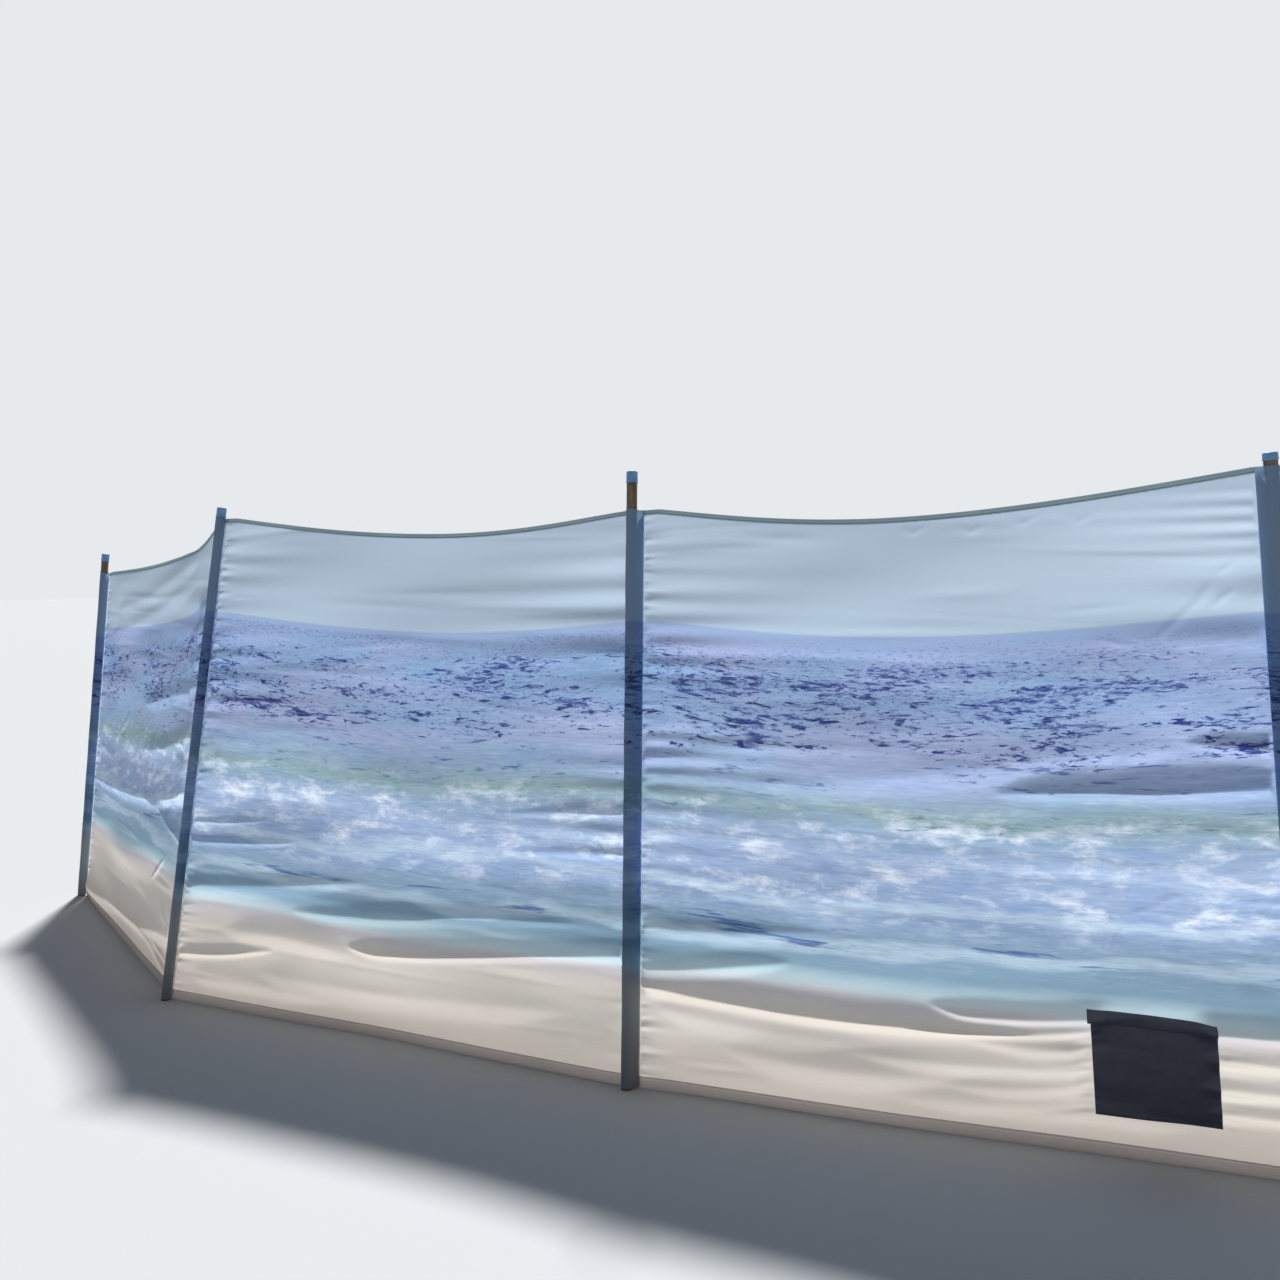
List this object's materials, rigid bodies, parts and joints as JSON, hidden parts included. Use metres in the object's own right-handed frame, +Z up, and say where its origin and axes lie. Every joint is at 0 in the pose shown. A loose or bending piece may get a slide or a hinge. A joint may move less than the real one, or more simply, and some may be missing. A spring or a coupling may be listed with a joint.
{
  "type": "beach windbreak",
  "caption": "Cloth beach windbreak: printed polyester strip in bays, hung between leaning round wooden poles with plastic caps in sewn sleeves.",
  "frame": {"origin": "centre of the third pole's foot, counted from the left as seen from the sleeve side, where it enters the sand", "axes": "+X along the middle bay towards the fourth pole, +Y towards the sheltered side, +Z up"},
  "size_m": [6.8526, 1.1587, 1.4698],
  "materials": {
    "pole_wood": "weathered, oiled brown",
    "cap_plastic": "satin, faded",
    "sleeve_cloth": "thin plain weave, printed",
    "printed_cloth": "thin plain weave, printed, lets light through",
    "binding_tape": "woven tape",
    "hem_cloth": "thin plain weave, printed",
    "patch_cloth": "coated weave"
  },
  "bodies": {
    "root": {"pole_1": "pole_wood", "pole_2": "pole_wood", "pole_3": "pole_wood", "pole_4": "pole_wood", "pole_5": "pole_wood", "pole_6": "pole_wood", "cap_1": "cap_plastic", "cap_2": "cap_plastic", "cap_3": "cap_plastic", "cap_4": "cap_plastic", "cap_5": "cap_plastic", "cap_6": "cap_plastic", "sleeve_1": "sleeve_cloth", "sleeve_2": "sleeve_cloth", "sleeve_3": "sleeve_cloth", "sleeve_4": "sleeve_cloth", "sleeve_5": "sleeve_cloth", "sleeve_6": "sleeve_cloth", "cloth_bay_1": "printed_cloth", "cloth_bay_2": "printed_cloth", "cloth_bay_3": "printed_cloth", "cloth_bay_4": "printed_cloth", "cloth_bay_5": "printed_cloth", "top_binding_1": "binding_tape", "top_binding_2": "binding_tape", "top_binding_3": "binding_tape", "top_binding_4": "binding_tape", "top_binding_5": "binding_tape", "hem_1": "hem_cloth", "hem_2": "hem_cloth", "hem_3": "hem_cloth", "hem_4": "hem_cloth", "hem_5": "hem_cloth", "label_patch": "patch_cloth"}
  },
  "joints": []
}
